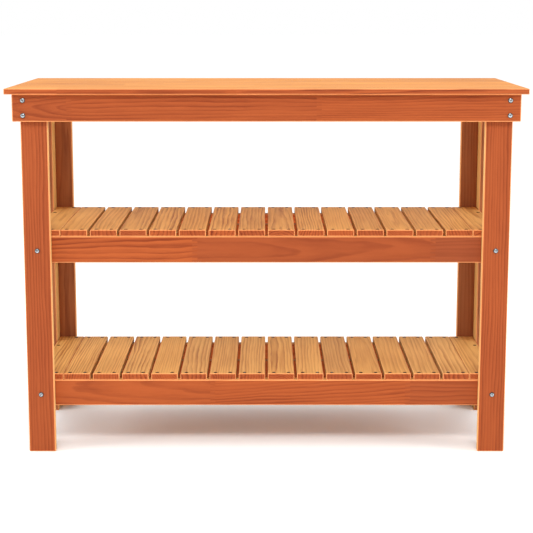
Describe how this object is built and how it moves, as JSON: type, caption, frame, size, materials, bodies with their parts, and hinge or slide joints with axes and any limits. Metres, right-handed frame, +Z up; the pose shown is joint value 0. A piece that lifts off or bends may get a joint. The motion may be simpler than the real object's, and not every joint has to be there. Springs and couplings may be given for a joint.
{
  "type": "potting bench",
  "caption": "Open softwood potting bench with a flat overhanging top, aprons, angle legs and two slatted shelves.",
  "frame": {"origin": "on the floor, under the middle of the bench", "axes": "+X along the length of the bench, +Y from front to back, +Z up"},
  "size_m": [1.1, 0.4, 0.8],
  "materials": {
    "top_wood": "honey-stained softwood, smooth satin oil finish",
    "frame_wood": "reddish honey-stained pine with visible grain, satin oil finish",
    "slat_wood": "honey-stained pine with visible grain, satin oil finish",
    "screw_zinc": "bright zinc plating"
  },
  "bodies": {
    "root": {"tabletop": "top_wood", "front_top_cleat": "frame_wood", "back_top_cleat": "frame_wood", "front_apron": "frame_wood", "back_apron": "frame_wood", "left_apron": "frame_wood", "right_apron": "frame_wood", "front_left_leg_face": "frame_wood", "front_left_leg_side": "frame_wood", "front_right_leg_face": "frame_wood", "front_right_leg_side": "frame_wood", "back_left_leg_face": "frame_wood", "back_left_leg_side": "frame_wood", "back_right_leg_face": "frame_wood", "back_right_leg_side": "frame_wood", "lower_front_rail": "frame_wood", "lower_middle_rail": "frame_wood", "lower_back_rail": "frame_wood", "lower_left_rail": "frame_wood", "lower_right_rail": "frame_wood", "upper_front_rail": "frame_wood", "upper_middle_rail": "frame_wood", "upper_back_rail": "frame_wood", "upper_left_rail": "frame_wood", "upper_right_rail": "frame_wood", "lower_slat_01": "slat_wood", "lower_slat_02": "slat_wood", "lower_slat_03": "slat_wood", "lower_slat_04": "slat_wood", "lower_slat_05": "slat_wood", "lower_slat_06": "slat_wood", "lower_slat_07": "slat_wood", "lower_slat_08": "slat_wood", "lower_slat_09": "slat_wood", "lower_slat_10": "slat_wood", "lower_slat_11": "slat_wood", "lower_slat_12": "slat_wood", "lower_slat_13": "slat_wood", "lower_slat_14": "slat_wood", "lower_slat_15": "slat_wood", "lower_slat_16": "slat_wood", "upper_slat_01": "slat_wood", "upper_slat_02": "slat_wood", "upper_slat_03": "slat_wood", "upper_slat_04": "slat_wood", "upper_slat_05": "slat_wood", "upper_slat_06": "slat_wood", "upper_slat_07": "slat_wood", "upper_slat_08": "slat_wood", "upper_slat_09": "slat_wood", "upper_slat_10": "slat_wood", "upper_slat_11": "slat_wood", "upper_slat_12": "slat_wood", "upper_slat_13": "slat_wood", "upper_slat_14": "slat_wood", "upper_slat_15": "slat_wood", "upper_slat_16": "slat_wood"}
  },
  "joints": []
}
